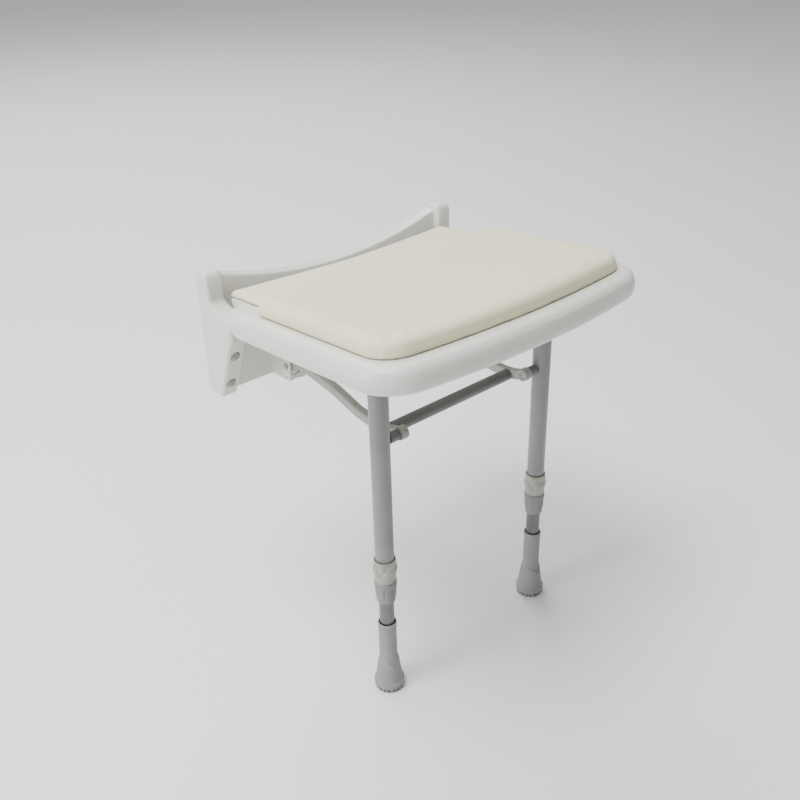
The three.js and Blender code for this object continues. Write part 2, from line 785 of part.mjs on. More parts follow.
function legTopPlug(x) {
  const seat = outerTubeTop + seatedGap;
  const insertSpan = [outerTubeTop - plugInsert, seat + joinLap];
  const insert = rod('z', insertSpan, [x, legY], outerTubeBore - seatedGap);
  const flange = rod('z', [seat, seat + plugFlange], [x, legY], outerTubeRadius, roundSides);
  const half = eyeThickness / 2;
  const eye = rod('x', [x - half, x + half], [legY, legPivotHeight], eyeRadius, roundSides);
  const neckDepth = [legY - plugNeckHalf, legY + plugNeckHalf];
  const neck = box([x - half, x + half], neckDepth, [seat + joinLap, legPivotHeight]);
  const through = [x - half - cutPast, x + half + cutPast];
  const hole = rod('x', through, [legY, legPivotHeight], legPinRadius + runningGap);
  return insert.add(flange).add(eye).add(neck).subtract(hole);
}

function collar(x) {
  const bore = outerTubeRadius + seatedGap;
  const outline = [
    [bore, collarFoot],
    [collarNeck, collarFoot],
    [collarNeck + collarNeckFlare, collarFoot + collarNeckLength],
    [collarRadius - collarEdge, collarTop - collarConeTop],
    [collarRadius, collarTop - collarRimHeight],
    [collarRadius, collarTop - collarEdgeHeight],
    [collarRadius - collarEdge, collarTop],
    [bore, collarTop],
  ];
  return turned(outline, x, legY);
}

function lockNut(x) {
  const aroundTube = outerTubeRadius + seatedGap;
  const aroundCollet = outerTubeRadius - seatedGap;
  const mouth = innerTubeRadius + 2 * seatedGap;
  const floor = nutFoot + nutFloor;
  const shoulder = outerTubeFoot - seatedGap;
  const outline = [
    [aroundTube, nutTop],
    [nutRadius - nutEdge, nutTop],
    [nutRadius, nutTop - nutEdgeHeight],
    [nutRadius, nutFoot + nutTaper],
    [nutMouth, nutFoot],
    [mouth, nutFoot],
    [mouth, floor],
    [aroundCollet, floor],
    [aroundCollet, shoulder],
    [aroundTube, shoulder],
  ];
  let solid = turned(outline, x, legY);
  for (let i = 0; i < nutFlutes; i += 1) {
    const angle = (i / nutFlutes) * 2 * Math.PI;
    const reach = nutRadius + nutFluteRadius * nutFluteShare;
    const centre = [x + reach * Math.cos(angle), legY + reach * Math.sin(angle)];
    const span = [nutFoot + nutFluteEnds[0], nutTop - nutFluteEnds[1]];
    solid = solid.subtract(rod('z', span, centre, nutFluteRadius, screwSides));
  }
  return solid;
}

function collet(x) {
  const foot = nutFoot + nutFloor + seatedGap;
  const top = foot + colletHeight;
  const outer = outerTubeRadius - 2 * seatedGap;
  const slit = box(
    [x, x + outer + cutPast],
    [legY - colletSlit / 2, legY + colletSlit / 2],
    [foot - cutPast, top + cutPast],
  );
  return ring(innerTubeRadius + seatedGap, outer, foot, top, x).subtract(slit);
}

function ferrule(x) {
  const outline = [
    [0, 0],
    ...ferruleBell.map(([beyond, height]) => [ferruleRadius + beyond, height]),
    [ferruleRadius, ferruleMouth - ferruleEdge],
    [ferruleRadius - ferruleEdge, ferruleMouth],
    [ferruleBore, ferruleMouth],
    [ferruleBore, ferruleFloor],
    [0, ferruleFloor],
  ];
  return turned(outline, x, legY);
}

function outerTube(x, side) {
  const wallSpan = spanOn(side, [legSpacing - outerTubeRadius - cutPast, legSpacing]);
  const hole = rod('x', wallSpan, [legY, legBoltHeight], legBoltRadius + legHoleGap);
  return ring(outerTubeBore, outerTubeRadius, outerTubeFoot, outerTubeTop, x).subtract(hole);
}

function addLegs(parent) {
  const washerFoot = ferruleFloor + seatedGap;
  const washerTop = washerFoot + washerThickness;
  const innerTubeBore = innerTubeRadius - innerTubeWall;
  const innerTubeFoot = washerTop + seatedGap;
  SIDES.forEach(([name, side]) => {
    const x = side * legSpacing;
    const inner = ring(innerTubeBore, innerTubeRadius, innerTubeFoot, innerTubeTop, x);
    const washer = rod('z', [washerFoot, washerTop], [x, legY], innerTubeRadius - washerGap);
    node(parent, `leg_outer_tube_${name}`, outerTube(x, side), FINISH.paintedTube);
    node(parent, `leg_top_plug_${name}`, legTopPlug(x), FINISH.creamNylon);
    node(parent, `leg_collar_${name}`, collar(x), FINISH.creamNylon);
    node(parent, `leg_lock_nut_${name}`, lockNut(x), FINISH.whitePlastic);
    node(parent, `leg_collet_${name}`, collet(x), FINISH.creamNylon);
    node(parent, `leg_inner_tube_${name}`, inner, FINISH.anodisedTube);
    node(parent, `leg_ferrule_${name}`, ferrule(x), FINISH.paleRubber);
    node(parent, `leg_ferrule_washer_${name}`, washer, FINISH.steel);
  });
}

// ---------------------------------------------------------------- stays and crossbar
// Side outline of a stay's bar, which rises a little from the wall and then dips to the leg.
function stayOutline() {
  const bends = stayBends.map(([share, rise]) => [hingeY - share * linkReach, stayPivotHeight + rise]);
  const places = [
    [hingeY, stayPivotHeight],
    ...bends,
    [-crossbarOut, crossbarHeight],
    [legY, legBoltHeight],
  ];
  const spine = new THREE.CatmullRomCurve3(places.map(([y, z]) => new THREE.Vector3(y, z, 0)));
  const above = [];
  const below = [];
  for (let i = 0; i <= staySteps; i += 1) {
    const point = spine.getPoint(i / staySteps);
    const along = spine.getTangent(i / staySteps);
    const across = new THREE.Vector2(along.y, -along.x).multiplyScalar(stayHalfDepth);
    above.push(new THREE.Vector2(point.x + across.x, point.y + across.y));
    below.push(new THREE.Vector2(point.x - across.x, point.y - across.y));
  }
  return new THREE.Shape([...above, ...below.reverse()]);
}

function stay(side) {
  const span = spanOn(side, [stayInner, stayOuter]);
  const through = [span[0] - cutPast, span[1] + cutPast];
  const rearPlace = [hingeY, stayPivotHeight];
  const frontPlace = [legY, legBoltHeight];
  const barPlace = [-crossbarOut, crossbarHeight];
  const recess = spanOn(side, [stayInner - cutPast, stayInner + boltRecess]);
  return plateX(stayOutline(), span, stayEdge)
    .add(rod('x', span, rearPlace, stayRearRadius, roundSides))
    .add(rod('x', span, frontPlace, stayEndRadius, roundSides))
    .subtract(rod('x', through, rearPlace, legPinRadius + runningGap))
    .subtract(rod('x', through, frontPlace, legBoltRadius + seatedGap))
    .subtract(rod('x', recess, frontPlace, boltRecessRadius))
    .subtract(rod('x', through, barPlace, crossbarScrewRadius + seatedGap));
}

function crossbar() {
  const half = stayInner - seatedGap;
  const place = [-crossbarOut, crossbarHeight];
  const boreHalf = half - crossbarPlug;
  const ventSpan = [crossbarHeight - crossbarRadius - cutPast, crossbarHeight];
  let solid = rod('x', [-half, half], place, crossbarRadius, roundSides)
    .subtract(rod('x', [-boreHalf, boreHalf], place, crossbarRadius - crossbarWall))
    .subtract(rod('z', ventSpan, [0, -crossbarOut], crossbarVent, screwSides));
  SIDES.forEach(([, side]) => {
    const span = spanOn(side, [boreHalf + crossbarHoleShort, half + cutPast]);
    solid = solid.subtract(rod('x', span, place, crossbarScrewRadius + seatedGap));
  });
  return solid;
}

function crossbarScrew(side) {
  const place = [-crossbarOut, crossbarHeight];
  const headFace = stayOuter + seatedGap;
  const headSpan = spanOn(side, [headFace, headFace + crossbarScrewHeadLength]);
  const shankSpan = spanOn(side, [stayInner - crossbarScrewBite, headFace + joinLap]);
  return rod('x', headSpan, place, crossbarScrewHead)
    .add(rod('x', shankSpan, place, crossbarScrewRadius));
}

function legBolt(side) {
  const place = [legY, legBoltHeight];
  const headFace = stayInner + boltRecess - seatedGap;
  const headSpan = spanOn(side, [headFace - legBoltHeadLength, headFace]);
  const shankSpan = spanOn(side, [headFace - joinLap, legSpacing]);
  return rod('x', headSpan, place, legBoltHead)
    .add(rod('x', shankSpan, place, legBoltRadius));
}

function spacer(side) {
  const place = [legY, legBoltHeight];
  const span = spanOn(side, [stayOuter + seatedGap, legSpacing - outerTubeRadius - seatedGap]);
  const through = [span[0] - cutPast, span[1] + cutPast];
  const bore = rod('x', through, place, legBoltRadius + seatedGap);
  return rod('x', span, place, spacerRadius).subtract(bore);
}

function addStays(parent) {
  node(parent, 'crossbar', crossbar(), FINISH.paintedTube);
  SIDES.forEach(([name, side]) => {
    node(parent, `stay_${name}`, stay(side), FINISH.whitePlastic);
    node(parent, `crossbar_screw_${name}`, crossbarScrew(side), FINISH.steel);
    node(parent, `leg_bolt_${name}`, legBolt(side), FINISH.steel);
    node(parent, `stay_spacer_${name}`, spacer(side), FINISH.whitePlastic);
  });
}

// ---------------------------------------------------------------- the whole object
const stool = new THREE.Group();
stool.position.z = -originHeight;
addWallMount(stool);
addSeat(stool);
addLegs(stool);
addStays(stool);

export default stool;
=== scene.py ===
import math

import bmesh
import bpy
import numpy as np
from mathutils import Matrix, Vector


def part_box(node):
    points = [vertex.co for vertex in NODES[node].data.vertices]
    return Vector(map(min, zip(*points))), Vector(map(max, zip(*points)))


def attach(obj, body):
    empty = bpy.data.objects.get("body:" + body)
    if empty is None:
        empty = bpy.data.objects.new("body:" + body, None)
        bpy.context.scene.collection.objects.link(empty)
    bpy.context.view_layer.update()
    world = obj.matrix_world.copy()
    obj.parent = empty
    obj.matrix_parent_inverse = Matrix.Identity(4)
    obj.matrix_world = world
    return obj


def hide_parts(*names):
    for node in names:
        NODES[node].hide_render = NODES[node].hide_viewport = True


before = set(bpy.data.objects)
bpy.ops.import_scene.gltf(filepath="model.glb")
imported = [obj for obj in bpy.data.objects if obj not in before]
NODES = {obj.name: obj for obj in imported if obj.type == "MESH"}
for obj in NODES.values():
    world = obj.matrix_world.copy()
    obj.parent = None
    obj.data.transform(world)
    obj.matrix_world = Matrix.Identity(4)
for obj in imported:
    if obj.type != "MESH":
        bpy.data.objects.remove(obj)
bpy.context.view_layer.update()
SIDES = (("left", -1), ("right", 1))

# ------------------------------------------------------------------ places, from the CAD
FLOOR_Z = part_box("leg_ferrule_left")[0].z


def centre(node):
    low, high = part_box(node)
    return (low + high) / 2


LEG_X = abs(centre("leg_outer_tube_left").x)
LEG_Y = centre("leg_outer_tube_left").y

# The seat slopes up towards its front edge; the cushion is drawn flat and then put in this frame.
SEAT_SLOPE = math.radians(4.5)
SEAT_OUT = 0.060
SEAT_HEIGHT = 0.487
SEAT_DATUM = Vector((0.0, -SEAT_OUT, FLOOR_Z + SEAT_HEIGHT))
SEAT_FRAME = Matrix.Translation(SEAT_DATUM) @ Matrix.Rotation(-SEAT_SLOPE, 4, "X")

BORE_RADIUS = 0.0128  # collar and lock nut, around the outer tube
NECK_RADIUS = 0.0135  # what lies inside this radius keeps its round bore
SLEEVE_RADIUS = 0.0123  # ferrule sleeve
SMOOTH_FACTOR = 0.5


# ------------------------------------------------------------------ mesh helpers
def new_object(name, verts, faces):
    mesh = bpy.data.meshes.new(name)
    mesh.from_pydata([tuple(v) for v in verts], [], faces)
    mesh.update()
    obj = bpy.data.objects.new(name, mesh)
    bpy.context.scene.collection.objects.link(obj)
    tidy_normals(obj)
    return obj


def tidy_normals(obj):
    """Merges doubled points, turns every face outwards and shades it smooth."""
    work = bmesh.new()
    work.from_mesh(obj.data)
    bmesh.ops.remove_doubles(work, verts=work.verts, dist=1e-6)
    bmesh.ops.recalc_face_normals(work, faces=work.faces)
    for face in work.faces:
        face.smooth = True
    work.to_mesh(obj.data)
    work.free()


def apply_modifiers(obj):
    """Keeps the mesh as its modifiers leave it, and removes them."""
    graph = bpy.context.evaluated_depsgraph_get()
    mesh = bpy.data.meshes.new_from_object(obj.evaluated_get(graph))
    obj.modifiers.clear()
    obj.data = mesh


def sharpen(obj, degrees=32):
    """Smooth shading with hard edges where faces meet at more than this angle."""
    limit = math.radians(degrees)
    work = bmesh.new()
    work.from_mesh(obj.data)
    for face in work.faces:
        face.smooth = True
    for edge in work.edges:
        if len(edge.link_faces) == 2:
            edge.smooth = edge.calc_face_angle(0.0) < limit
    work.to_mesh(obj.data)
    work.free()
    return obj


def softened(node, name, voxel, rounds):
    """A moulded version of a CAD node: remeshed finely, with its edges rounded over."""
    obj = bpy.data.objects.new(name, NODES[node].data.copy())
    bpy.context.scene.collection.objects.link(obj)
    remesh = obj.modifiers.new("remesh", "REMESH")
    remesh.mode = "VOXEL"
    remesh.voxel_size = voxel
    remesh.use_smooth_shade = True
    smooth = obj.modifiers.new("smooth", "SMOOTH")
    smooth.factor = SMOOTH_FACTOR
    smooth.iterations = rounds
    apply_modifiers(obj)
    tidy_normals(obj)
    return obj


def lathe(name, outline, place, segments=72, axis="z", warp=None):
    """A turned piece from a closed outline of (radius, along) pairs; warp moves each point."""
    rings = []
    verts = []
    for r, z in outline:
        if r < 1e-7:
            rings.append([len(verts)])
            verts.append((0.0, 0.0, z))
            continue
        rings.append(list(range(len(verts), len(verts) + segments)))
        for k in range(segments):
            angle = 2 * math.pi * k / segments
            rr, zz = warp(r, z, angle) if warp else (r, z)
            verts.append((rr * math.cos(angle), rr * math.sin(angle), zz))
    faces = []
    count = len(rings)
    for i in range(count):
        a, b = rings[i], rings[(i + 1) % count]
        if len(a) == 1 and len(b) == 1:
            continue
        for k in range(segments):
            m = (k + 1) % segments
            if len(a) == 1:
                faces.append((a[0], b[k], b[m]))
            elif len(b) == 1:
                faces.append((a[k], b[0], a[m]))
            else:
                faces.append((a[k], b[k], b[m], a[m]))
    quarter = math.pi / 2
    turn = {
        "z": Matrix.Identity(4),
        "x": Matrix.Rotation(quarter, 4, "Y"),
        "-x": Matrix.Rotation(-quarter, 4, "Y"),
        "y": Matrix.Rotation(math.pi, 4, "Z") @ Matrix.Rotation(quarter, 4, "X"),
    }
    matrix = Matrix.Translation(Vector(place)) @ turn[axis]
    return new_object(name, [matrix @ Vector(v) for v in verts], faces)


def rounded(outline, radius, steps):
    """Rounds the corners of a closed (r, z) outline; corners on the axis stay sharp."""
    points = [Vector(p) for p in outline]
    result = []
    count = len(points)
    for i, corner in enumerate(points):
        before, after = points[i - 1], points[(i + 1) % count]
        if corner.x < 1e-7:
            result.append((corner.x, corner.y))
            continue
        into, out = before - corner, after - corner
        reach = min(radius, 0.45 * into.length, 0.45 * out.length)
        start = corner + into.normalized() * reach
        end = corner + out.normalized() * reach
        for k in range(steps + 1):
            t = k / steps
            point = (1 - t) ** 2 * start + 2 * t * (1 - t) * corner + t * t * end
            result.append((point.x, point.y))
    return result


def dress(obj, body, material, node):
    """Gives a piece its material and finish; it rides on a body and stands for one CAD node."""
    obj.data.materials.clear()
    obj.data.materials.append(material)
    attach(obj, body)
    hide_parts(node)


# ------------------------------------------------------------------ materials
def surface(name, tints, rough, grain, metallic=0.0, patch=9.0, specks=None, sheen=0.0,
            coat=0.0, subsurface=0.0, brushed=None):
    """A procedural material: patchy tint, uneven roughness and a fine grain in the bump.

    tints is two colours, rough is (low, high), grain is (size per metre, height in metres,
    strength), specks is (size per metre, share, colour) and brushed stretches the grain."""
    material = bpy.data.materials.new(name)
    material.use_nodes = True
    nodes, links = material.node_tree.nodes, material.node_tree.links
    shader = nodes["Principled BSDF"]
    shader.inputs["Metallic"].default_value = metallic
    shader.inputs["Sheen Weight"].default_value = sheen
    shader.inputs["Coat Weight"].default_value = coat
    shader.inputs["Coat Roughness"].default_value = 0.25
    shader.inputs["Subsurface Weight"].default_value = subsurface
    shader.inputs["Subsurface Scale"].default_value = 0.004
    place = nodes.new("ShaderNodeTexCoord").outputs["Object"]
    if brushed:
        mapping = nodes.new("ShaderNodeMapping")
        mapping.inputs["Scale"].default_value = brushed
        links.new(place, mapping.inputs["Vector"])
        grain_place = mapping.outputs["Vector"]
    else:
        grain_place = place

    def noise(size, detail, vector, roughness=0.5):
        node = nodes.new("ShaderNodeTexNoise")
        node.inputs["Scale"].default_value = size
        node.inputs["Detail"].default_value = detail
        node.inputs["Roughness"].default_value = roughness
        links.new(vector, node.inputs["Vector"])
        return node.outputs["Fac"]

    def ramp(value, low, high):
        node = nodes.new("ShaderNodeMapRange")
        node.interpolation_type = "SMOOTHSTEP"
        node.inputs["From Min"].default_value = low
        node.inputs["From Max"].default_value = high
        links.new(value, node.inputs["Value"])
        return node

    def mix(factor, first, second):
        node = nodes.new("ShaderNodeMix")
        node.data_type = "RGBA"
        links.new(factor, node.inputs["Factor"])
        for socket, value in ((node.inputs["A"], first), (node.inputs["B"], second)):
            if isinstance(value, bpy.types.NodeSocket):
                links.new(value, socket)
            else:
                socket.default_value = (*value, 1.0)
        return node.outputs["Result"]

    patches = ramp(noise(patch, 4.0, place), 0.3, 0.7)
    colour = mix(patches.outputs["Result"], tints[0], tints[1])
    if specks:
        size, share, tint = specks
        dots = ramp(noise(size, 1.5, place, 0.4), 1 - share, 1 - share + 0.06)
        colour = mix(dots.outputs["Result"], colour, tint)
    links.new(colour, shader.inputs["Base Color"])
    gloss = ramp(noise(patch * 4, 5.0, place, 0.6), 0.25, 0.75)
    gloss.inputs["To Min"].default_value = rough[0]
    gloss.inputs["To Max"].default_value = rough[1]
    links.new(gloss.outputs["Result"], shader.inputs["Roughness"])
    bump = nodes.new("ShaderNodeBump")
    bump.inputs["Distance"].default_value = grain[1]
    bump.inputs["Strength"].default_value = grain[2]
    links.new(noise(grain[0], 3.0, grain_place), bump.inputs["Height"])
    links.new(bump.outputs["Normal"], shader.inputs["Normal"])
    return material


WHITE = surface(
    "white_moulded_plastic", ((0.68, 0.675, 0.63), (0.64, 0.635, 0.59)), (0.30, 0.42),
    (1500, 0.00022, 0.35), specks=(420, 0.26, (0.60, 0.60, 0.57)), subsurface=0.04, coat=0.06)
FOAM = surface(
    "cream_skinned_foam", ((0.73, 0.70, 0.50), (0.69, 0.66, 0.46)), (0.58, 0.74),
    (1150, 0.0005, 0.5), patch=6.0, specks=(640, 0.30, (0.63, 0.605, 0.42)),
    subsurface=0.05, sheen=0.06)
GRIP = surface(
    "grey_moulded_grip", ((0.215, 0.215, 0.207), (0.185, 0.185, 0.178)), (0.42, 0.56),
    (1300, 0.0003, 0.4), patch=30.0)
NYLON = surface(
    "cream_moulded_nylon", ((0.35, 0.35, 0.305), (0.30, 0.30, 0.26)), (0.42, 0.56),
    (1300, 0.0003, 0.4), patch=30.0)
STRAP = surface(
    "pale_moulded_stay", ((0.32, 0.32, 0.295), (0.28, 0.28, 0.257)), (0.40, 0.54),
    (1300, 0.0003, 0.4), patch=20.0)
PAINT = surface(
    "grey_painted_tube", ((0.215, 0.217, 0.22), (0.19, 0.193, 0.197)), (0.30, 0.42),
    (520, 0.00035, 0.3), metallic=0.15, patch=14.0, coat=0.1)
# Painted shade: this is the tube paint made darker for the crossbar and the stay spacers, standing
# for the shade they sit in below the seat
SHADE_DARKENED_PAINT = surface(
    "grey_paint_darkened_as_painted_shade", ((0.135, 0.137, 0.134), (0.115, 0.117, 0.114)), (0.34, 0.48),
    (520, 0.00035, 0.3), metallic=0.15, patch=14.0, coat=0.06)
ANODISED = surface(
    "satin_anodised_tube", ((0.17, 0.172, 0.175), (0.135, 0.137, 0.14)), (0.26, 0.40),
    (900, 0.0001, 0.4), metallic=0.85, patch=25.0, brushed=(1.0, 1.0, 0.04))
RUBBER = surface(
    "pale_grey_rubber", ((0.27, 0.272, 0.272), (0.235, 0.238, 0.238)), (0.62, 0.80),
    (900, 0.0005, 0.5), patch=22.0, specks=(700, 0.3, (0.20, 0.203, 0.203)))
STEEL = surface(
    "zinc_plated_steel", ((0.42, 0.42, 0.41), (0.34, 0.34, 0.33)), (0.28, 0.46),
    (1600, 0.0001, 0.4), metallic=0.95, patch=60.0)


# ------------------------------------------------------------------ foam pad
# sizes in metres, in the seat's own frame; fronts and steps are ahead of its origin
PAD_HALF = 0.204
PAD_FRONT = 0.3225
PAD_BOW = 1.250
PAD_CORNER = 0.042
PAD_STEP = 0.066
PAD_REAR_CORNER = 0.012
PAD_BOTTOM = 0.0373
PAD_TOP = 0.0572
PAD_LOW_TOP = 0.0466
PAD_TONGUE_HALF = 0.1855
PAD_TONGUE_REAR = 0.020
PAD_DISH = 0.013
PAD_ROUND = 0.0105
PAD_SLOPE_LENGTH = 0.034
PAD_VOXEL = 0.0028
PAD_SMOOTHING = 3
PAD_SWELL = 0.0016
PAD_HELD = 0.006  # height of the lowest part, which doesn't swell
CLOTH_FRAMES = 20


def arc(centre_xy, radius, start, end, steps):
    return [
        (centre_xy[0] + radius * math.cos(start + (end - start) * k / steps),
         centre_xy[1] + radius * math.sin(start + (end - start) * k / steps))
        for k in range(steps + 1)
    ]


def bowed_outline(half, front, bow, corner, rear, rear_corner, shrink=0.0):
    """Counter-clockwise outline with a bowed front, moved inwards by shrink."""
    half, front, bow = half - shrink, front - shrink, bow - shrink
    corner, rear_corner, rear = corner - shrink, rear_corner - shrink, rear + shrink
    bow_y = bow - front
    corner_x = half - corner
    corner_y = bow_y - math.sqrt((bow - corner) ** 2 - corner_x ** 2)
    turn = math.atan2(corner_y - bow_y, corner_x)
    points = arc((corner_x, corner_y), corner, 0, turn, 16)
    points += arc((0, bow_y), bow, turn, -math.pi - turn, 40)[1:]
    points += arc((-corner_x, corner_y), corner, -math.pi - turn, -math.pi, 16)[1:]
    rear_x = half - rear_corner
    rear_y = -rear - rear_corner
    points += arc((-rear_x, rear_y), rear_corner, math.pi, math.pi / 2, 8)
    points += arc((rear_x, rear_y), rear_corner, math.pi / 2, 0, 8)
    return points


def stacked(name, layers):
    """A closed piece from outlines of equal length at rising heights."""
    count = len(layers[0][0])
    verts = [(x, y, z) for outline, z in layers for x, y in outline]
    faces = [tuple(range(count)), tuple(range((len(layers) - 1) * count, len(layers) * count))]
    for layer in range(len(layers) - 1):
        low, high = layer * count, (layer + 1) * count
        for k in range(count):
            m = (k + 1) % count
            faces.append((low + k, low + m, high + m, high + k))
    return new_object(name, verts, faces)


def smoothstep(t):
    t = min(max(t, 0.0), 1.0)
    return t * t * (3 - 2 * t)


def pad_main():
    layers = []
    under = 0.0010
    for k in range(4):
        angle = math.pi / 2 * k / 3
        layers.append((under * (1 - math.sin(angle)), PAD_BOTTOM + under * (1 - math.cos(angle))))
    for k in range(9):
        angle = math.pi / 2 * k / 8
        inset = PAD_ROUND * (1 - math.cos(angle))
        layers.append((inset, PAD_TOP - PAD_ROUND * (1 - math.sin(angle))))
    outlines = [
        (bowed_outline(PAD_HALF, PAD_FRONT, PAD_BOW, PAD_CORNER, PAD_STEP, PAD_REAR_CORNER, inset), z)
        for inset, z in layers
    ]
    return stacked("pad_main", outlines)


def pad_tongue():
    """The narrower rear part, whose top falls away towards the wall."""
    across, along = 120, 60
    front = -PAD_STEP - 0.020
    edge = 0.006

    def rear(x):
        return PAD_TONGUE_REAR - PAD_DISH * (1 - (x / PAD_TONGUE_HALF) ** 2)

    def rim(distance):
        if distance >= edge:
            return 1.0
        return math.sqrt(max(0.0, 1 - (1 - distance / edge) ** 2))

    def clustered(k, count):
        return 0.5 - 0.5 * math.cos(math.pi * k / count)

    verts = []
    for top in (True, False):
        for j in range(along + 1):
            for i in range(across + 1):
                x = (2 * clustered(i, across) - 1) * PAD_TONGUE_HALF
                y = front + (rear(x) - front) * math.sin(math.pi / 2 * j / along)
                if top:
                    # the slope ends further forward towards the sides, where the arch is higher
                    slope_end = -0.020 - 0.031 * (x / PAD_TONGUE_HALF) ** 2
                    fall = smoothstep((y - slope_end + PAD_SLOPE_LENGTH) / PAD_SLOPE_LENGTH)
                    high = PAD_TOP - (PAD_TOP - PAD_LOW_TOP) * fall
                    shape = rim(PAD_TONGUE_HALF - abs(x)) * rim(rear(x) - y)
                    verts.append((x, y, high - edge * (1 - shape)))
                else:
                    verts.append((x, y, PAD_BOTTOM))
    width = across + 1
    sheet = width * (along + 1)
    faces = []
    for j in range(along):
        for i in range(across):
            a = j * width + i
            faces.append((a, a + 1, a + 1 + width, a + width))
            faces.append((sheet + a, sheet + a + width, sheet + a + 1 + width, sheet + a + 1))
    ring = list(range(width))
    ring += [j * width + across for j in range(1, along + 1)]
    ring += [along * width + i for i in range(across - 1, -1, -1)]
    ring += [j * width for j in range(along - 1, 0, -1)]
    for k, a in enumerate(ring):
        b = ring[(k + 1) % len(ring)]
        faces.append((a, sheet + a, sheet + b, b))
    return new_object("pad_tongue", verts, faces)


def puffed(obj, cap, base):
    """Inflates the pad a little as cloth, with its underside held, and caps each point's move."""
    scene = bpy.context.scene
    start = np.array([v.co for v in obj.data.vertices])
    held = obj.vertex_groups.new(name="held")
    held.add([i for i, co in enumerate(start) if co[2] < base + PAD_HELD], 1.0, "REPLACE")
    cloth = obj.modifiers.new("cloth", "CLOTH")
    settings = cloth.settings
    settings.quality = 4
    settings.mass = 0.3
    settings.tension_stiffness = 18
    settings.compression_stiffness = 18
    settings.bending_stiffness = 2
    settings.use_pressure = True
    settings.uniform_pressure_force = 4
    settings.effector_weights.gravity = 0
    settings.vertex_group_mass = "held"
    cloth.point_cache.frame_start = 1
    cloth.point_cache.frame_end = CLOTH_FRAMES
    for number in range(1, CLOTH_FRAMES + 1):
        scene.frame_set(number)
    apply_modifiers(obj)
    scene.frame_set(1)
    end = np.array([v.co for v in obj.data.vertices])
    move = end - start
    size = np.linalg.norm(move, axis=1, keepdims=True)
    move *= np.minimum(1.0, cap / np.maximum(size, 1e-9))
    obj.data.vertices.foreach_set("co", (start + move).astype(np.float32).ravel())
    obj.data.update()


def join(first, second):
    work = bmesh.new()
    work.from_mesh(first.data)
    work.from_mesh(second.data)
    work.to_mesh(first.data)
    work.free()
    bpy.data.objects.remove(second)


def build_pad():
    pad = pad_main()
    join(pad, pad_tongue())
    pad.name = "seat_cushion"
    remesh = pad.modifiers.new("remesh", "REMESH")
    remesh.mode = "VOXEL"
    remesh.voxel_size = PAD_VOXEL
    apply_modifiers(pad)
    puffed(pad, PAD_SWELL, PAD_BOTTOM)
    smooth = pad.modifiers.new("smooth", "SMOOTH")
    smooth.factor = SMOOTH_FACTOR
    smooth.iterations = PAD_SMOOTHING
    finer = pad.modifiers.new("finer", "SUBSURF")
    finer.levels = 1
    finer.render_levels = 1
    apply_modifiers(pad)
    pad.data.transform(SEAT_FRAME)
    tidy_normals(pad)
    dress(pad, "seat", FOAM, "seat_pad")


# ------------------------------------------------------------------ moulded pieces
def build_mouldings():
    shell = softened("seat_shell", "seat_shell_moulding", 0.0015, 10)
    dress(shell, "seat", WHITE, "seat_shell")
    bracket = softened("wall_bracket", "wall_bracket_moulding", 0.0014, 7)
    dress(bracket, "wall_mount", WHITE, "wall_bracket")
    for side, _ in SIDES:
        stay = softened(f"stay_{side}", f"stay_{side}_moulding", 0.0008, 4)
        dress(stay, "stay_frame", STRAP, f"stay_{side}")
        block = softened(f"leg_hinge_block_{side}", f"leg_hinge_block_{side}_moulding", 0.0008, 4)
        dress(block, "seat", NYLON, f"leg_hinge_block_{side}")


def build_screw_caps():
    outline = [(0.0, 0.0002), (0.0028, 0.0), (0.0048, 0.0006), (0.0061, 0.0019), (0.0063, 0.0032),
               (0.0063, 0.0095), (0.0, 0.0095)]
    for side, _ in SIDES:
        for level in ("lower", "upper"):
            node = f"screw_cap_{side}_{level}"
            low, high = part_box(node)
            place = ((low.x + high.x) / 2, low.y, (low.z + high.z) / 2)
            cap = lathe(f"{node}_cover", rounded(outline, 0.0006, 3), place, 48, "y")
            dress(cap, "wall_mount", NYLON, node)


# ------------------------------------------------------------------ legs
def tube_outline(outer, inner, low, high, lip=0.0004):
    return rounded([(inner, low), (outer, low), (outer, high), (inner, high)], lip, 3)


def build_outer_tube(side, x):
    node = f"leg_outer_tube_{side}"
    low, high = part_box(node)
    outline = tube_outline(0.0125, 0.0111, low.z, high.z)
    tube = lathe(f"{node}_painted", outline, (x, LEG_Y, 0), 96)
    dress(tube, f"{side}_leg", PAINT, node)


def build_collar(side, x):
    node = f"leg_collar_{side}"
    low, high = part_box(node)
    bore, neck, rim = BORE_RADIUS, 0.0139, 0.0170
    bottom, top = low.z, high.z
    notch_angle = math.radians(-150)

    def cam(r, z, angle):
        """Two wings on the rim and a V-shaped ramp cut between them."""
        if r < NECK_RADIUS:
            return r, z
        rise = smoothstep((z - (top - 0.0150)) / 0.003)
        wing = max(0.0, math.cos(2 * (angle - math.radians(35)))) ** 3
        turn = (angle - notch_angle + math.pi) % (2 * math.pi) - math.pi
        half = 0.75 * smoothstep((z - bottom - 0.006) / 0.022)
        cut = smoothstep((half - abs(turn)) / 0.12) * smoothstep((top - 0.004 - z) / 0.002)
        return max(neck, r - 0.0022 * rise * (1 - wing) - 0.0016 * cut), z

    outline = [(bore, bottom), (neck, bottom), (neck + 0.0003, bottom + 0.006)]
    outline += [(neck + 0.0003 + 0.0020 * k / 10, bottom + 0.007 + 0.0011 * k) for k in range(11)]
    outline += [(rim - 0.0004, top - 0.0140), (rim, top - 0.0125)]
    outline += [(rim, top - 0.0115 + 0.0009 * k) for k in range(11)]
    outline += [(rim - 0.0005, top - 0.0008), (rim - 0.0012, top), (bore + 0.0012, top),
                (bore, top - 0.0012)]
    collar = lathe(f"{node}_moulding", outline, (x, LEG_Y, 0), 120, warp=cam)
    dress(sharpen(collar, 34), f"{side}_leg", NYLON, node)


